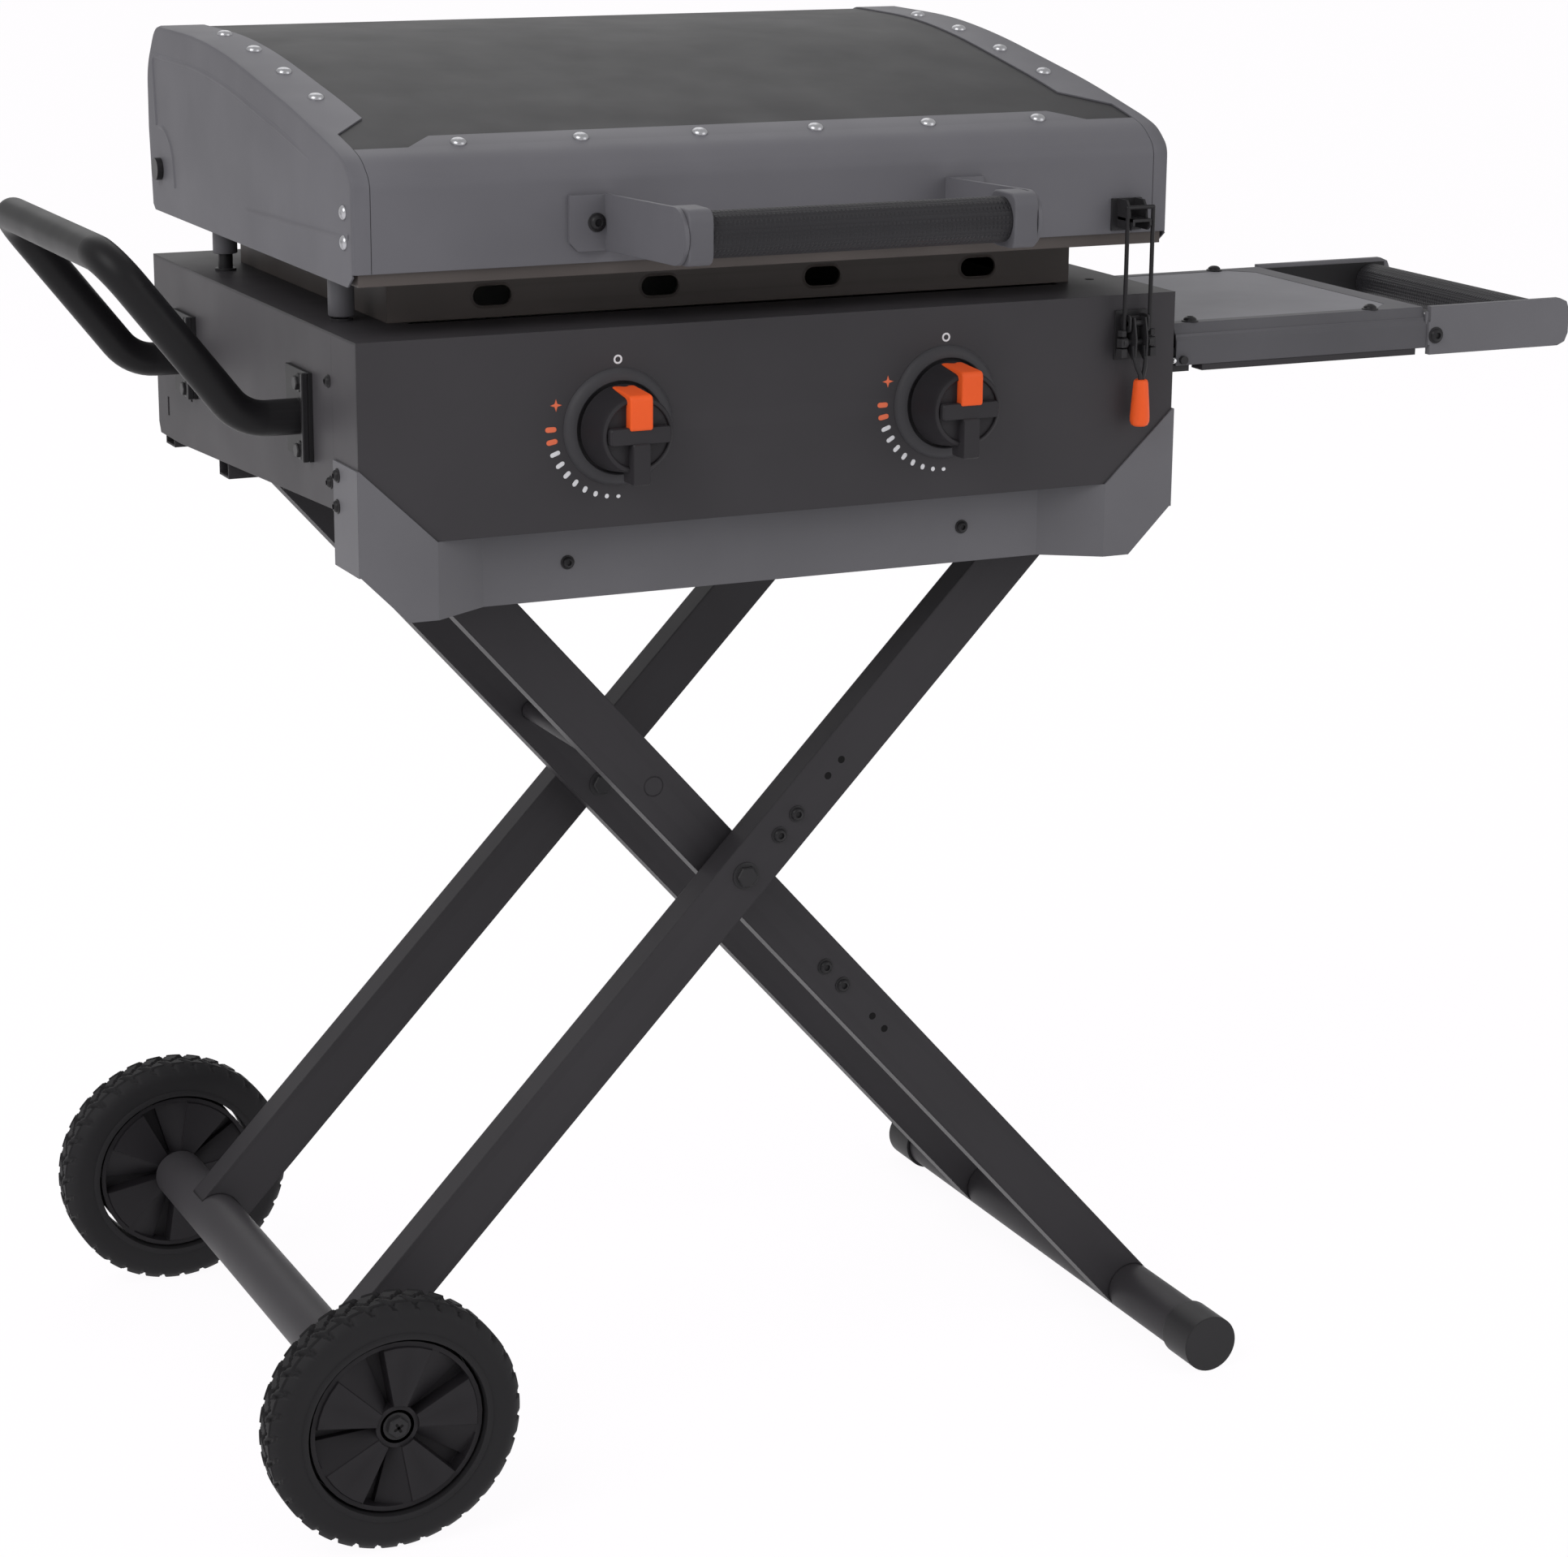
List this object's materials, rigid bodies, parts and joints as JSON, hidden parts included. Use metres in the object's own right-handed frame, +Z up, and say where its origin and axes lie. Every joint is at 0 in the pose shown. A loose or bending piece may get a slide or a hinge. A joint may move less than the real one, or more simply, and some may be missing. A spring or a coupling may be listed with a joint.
{
  "type": "outdoor gas griddle station",
  "caption": "Portable outdoor gas griddle with a latched hood, fold-down side shelf and grab handle on a folding wheeled scissor cart.",
  "frame": {"origin": "on the ground, below the middle of the object's outline", "axes": "+X to the shelf side, +Y from the control panel to the back, +Z up"},
  "size_m": [1.0794, 0.6238, 0.9811],
  "materials": {
    "body_grey": "satin powder coat",
    "panel_dark": "fine satin powder coat",
    "hood_grey": "satin powder coat",
    "leg_black": "satin black paint",
    "tube_black": "satin black paint",
    "plate_steel": "seasoned rolled steel",
    "galvanised": "zinc-coated sheet",
    "brass": "machined",
    "dark_plastic": "fine grain",
    "grip_plastic": "textured grip",
    "orange": "soft orange",
    "bolt_black": "black oxide",
    "steel_pin": "bright plated",
    "tyre": "moulded tread",
    "wheel_plastic": "moulded",
    "rubber": "plain"
  },
  "bodies": {
    "base": {"side_panel_left": "body_grey", "side_panel_right": "body_grey", "back_panel": "body_grey", "front_frame": "body_grey", "control_panel": "panel_dark", "front_trim": "body_grey", "top_deck": "panel_dark", "base_rails": "leg_black", "burner_box": "galvanised", "burners": "galvanised", "gas_valves": "brass", "gas_manifold": "galvanised", "knob_bezels": "dark_plastic", "griddle_plate": "plate_steel", "griddle_support": "plate_steel", "grease_chute": "galvanised", "cup_runners": "galvanised", "hood_hinge_pins": "bolt_black", "latch_base": "bolt_black", "side_handle": "tube_black", "body_bolts": "bolt_black", "shelf_hinges": "bolt_black", "leg_brackets": "leg_black", "bar_hooks": "leg_black"},
    "grease_cup": {"grease_cup": "galvanised"},
    "spindle_left": {"valve_spindle_left": "brass"},
    "spindle_right": {"valve_spindle_right": "brass"},
    "knob_left": {"knob_left": "dark_plastic"},
    "knob_right": {"knob_right": "dark_plastic"},
    "hood": {"hood_top": "hood_grey", "hood_front": "hood_grey", "hood_end_left": "hood_grey", "hood_end_right": "hood_grey", "hood_fasteners": "bolt_black", "hood_handle_brackets": "hood_grey", "hood_handle_grip": "grip_plastic", "hood_catch": "bolt_black"},
    "latch_lever": {"latch_lever": "bolt_black", "latch_grip": "orange"},
    "latch_wire": {"latch_wire_pin": "bolt_black", "latch_wire": "bolt_black"},
    "shelf": {"shelf_tray": "body_grey", "shelf_rails": "leg_black", "shelf_handle_arms": "body_grey", "shelf_grip": "grip_plastic", "shelf_bolts": "bolt_black"},
    "foot_legs": {"foot_leg_front": "leg_black", "foot_leg_rear": "leg_black", "foot_leg_tubes": "leg_black", "foot_caps": "rubber", "leg_pivot_bolts": "bolt_black"},
    "wheel_legs": {"wheel_leg_front": "leg_black", "wheel_leg_rear": "leg_black", "wheel_leg_tubes": "leg_black", "axle": "steel_pin", "wheel_leg_bolts": "bolt_black"},
    "wheel_front": {"wheel_hub_front": "wheel_plastic", "tyre_front": "tyre"},
    "wheel_rear": {"wheel_hub_rear": "wheel_plastic", "tyre_rear": "tyre"}
  },
  "joints": [
    {"name": "hood_open", "type": "hinge", "parent": "base", "child": "hood", "pos_m": [-0.0994, 0.24345, 0.8769], "axis": [-1, 0, 0], "range_deg": [0, 90]},
    {"name": "knob_left_push", "type": "slide", "parent": "base", "child": "spindle_left", "axis": [0, 1, 0], "range_m": [0, 0.003], "stiffness_N_per_m": 800},
    {"name": "knob_right_push", "type": "slide", "parent": "base", "child": "spindle_right", "axis": [0, 1, 0], "range_m": [0, 0.003], "stiffness_N_per_m": 800},
    {"name": "knob_left_turn", "type": "hinge", "parent": "spindle_left", "child": "knob_left", "pos_m": [-0.22, -0.21105, 0.748], "axis": [0, -1, 0], "range_deg": [0, 180]},
    {"name": "knob_right_turn", "type": "hinge", "parent": "spindle_right", "child": "knob_right", "pos_m": [0.0212, -0.21105, 0.748], "axis": [0, -1, 0], "range_deg": [0, 180]},
    {"name": "latch_lever_lift", "type": "hinge", "parent": "base", "child": "latch_lever", "pos_m": [0.1646, -0.20105, 0.795], "axis": [-1, 0, 0], "range_deg": [0, 120]},
    {"name": "latch_wire_lift", "type": "hinge", "parent": "latch_lever", "child": "latch_wire", "pos_m": [0.1646, -0.20105, 0.782], "axis": [-1, 0, 0], "range_deg": [-120, 0]},
    {"name": "shelf_fold", "type": "hinge", "parent": "base", "child": "shelf", "pos_m": [0.2121, -0.06705, 0.764], "axis": [0, -1, 0], "range_deg": [-90, 0]},
    {"name": "grease_cup_slide", "type": "slide", "parent": "base", "child": "grease_cup", "axis": [0, 1, 0], "range_m": [0, 0.025]},
    {"name": "leg_fold", "type": "hinge", "parent": "base", "child": "foot_legs", "pos_m": [-0.33028, 0.03295, 0.668], "axis": [0, -1, 0], "range_deg": [0, 40]},
    {"name": "scissor_pivot", "type": "hinge", "parent": "foot_legs", "child": "wheel_legs", "pos_m": [-0.0961, 0.03295, 0.407], "axis": [0, -1, 0], "range_deg": [-80, 0]},
    {"name": "wheel_front_spin", "type": "hinge", "parent": "wheel_legs", "child": "wheel_front", "pos_m": [-0.40212, -0.22255, 0.089], "axis": [0, 1, 0], "continuous": true},
    {"name": "wheel_rear_spin", "type": "hinge", "parent": "wheel_legs", "child": "wheel_rear", "pos_m": [-0.40212, 0.28855, 0.089], "axis": [0, 1, 0], "continuous": true}
  ],
  "couplings": [
    {"joint": "latch_wire_lift", "follows": "latch_lever_lift", "ratio": -1},
    {"joint": "scissor_pivot", "follows": "leg_fold", "ratio": -2}
  ]
}
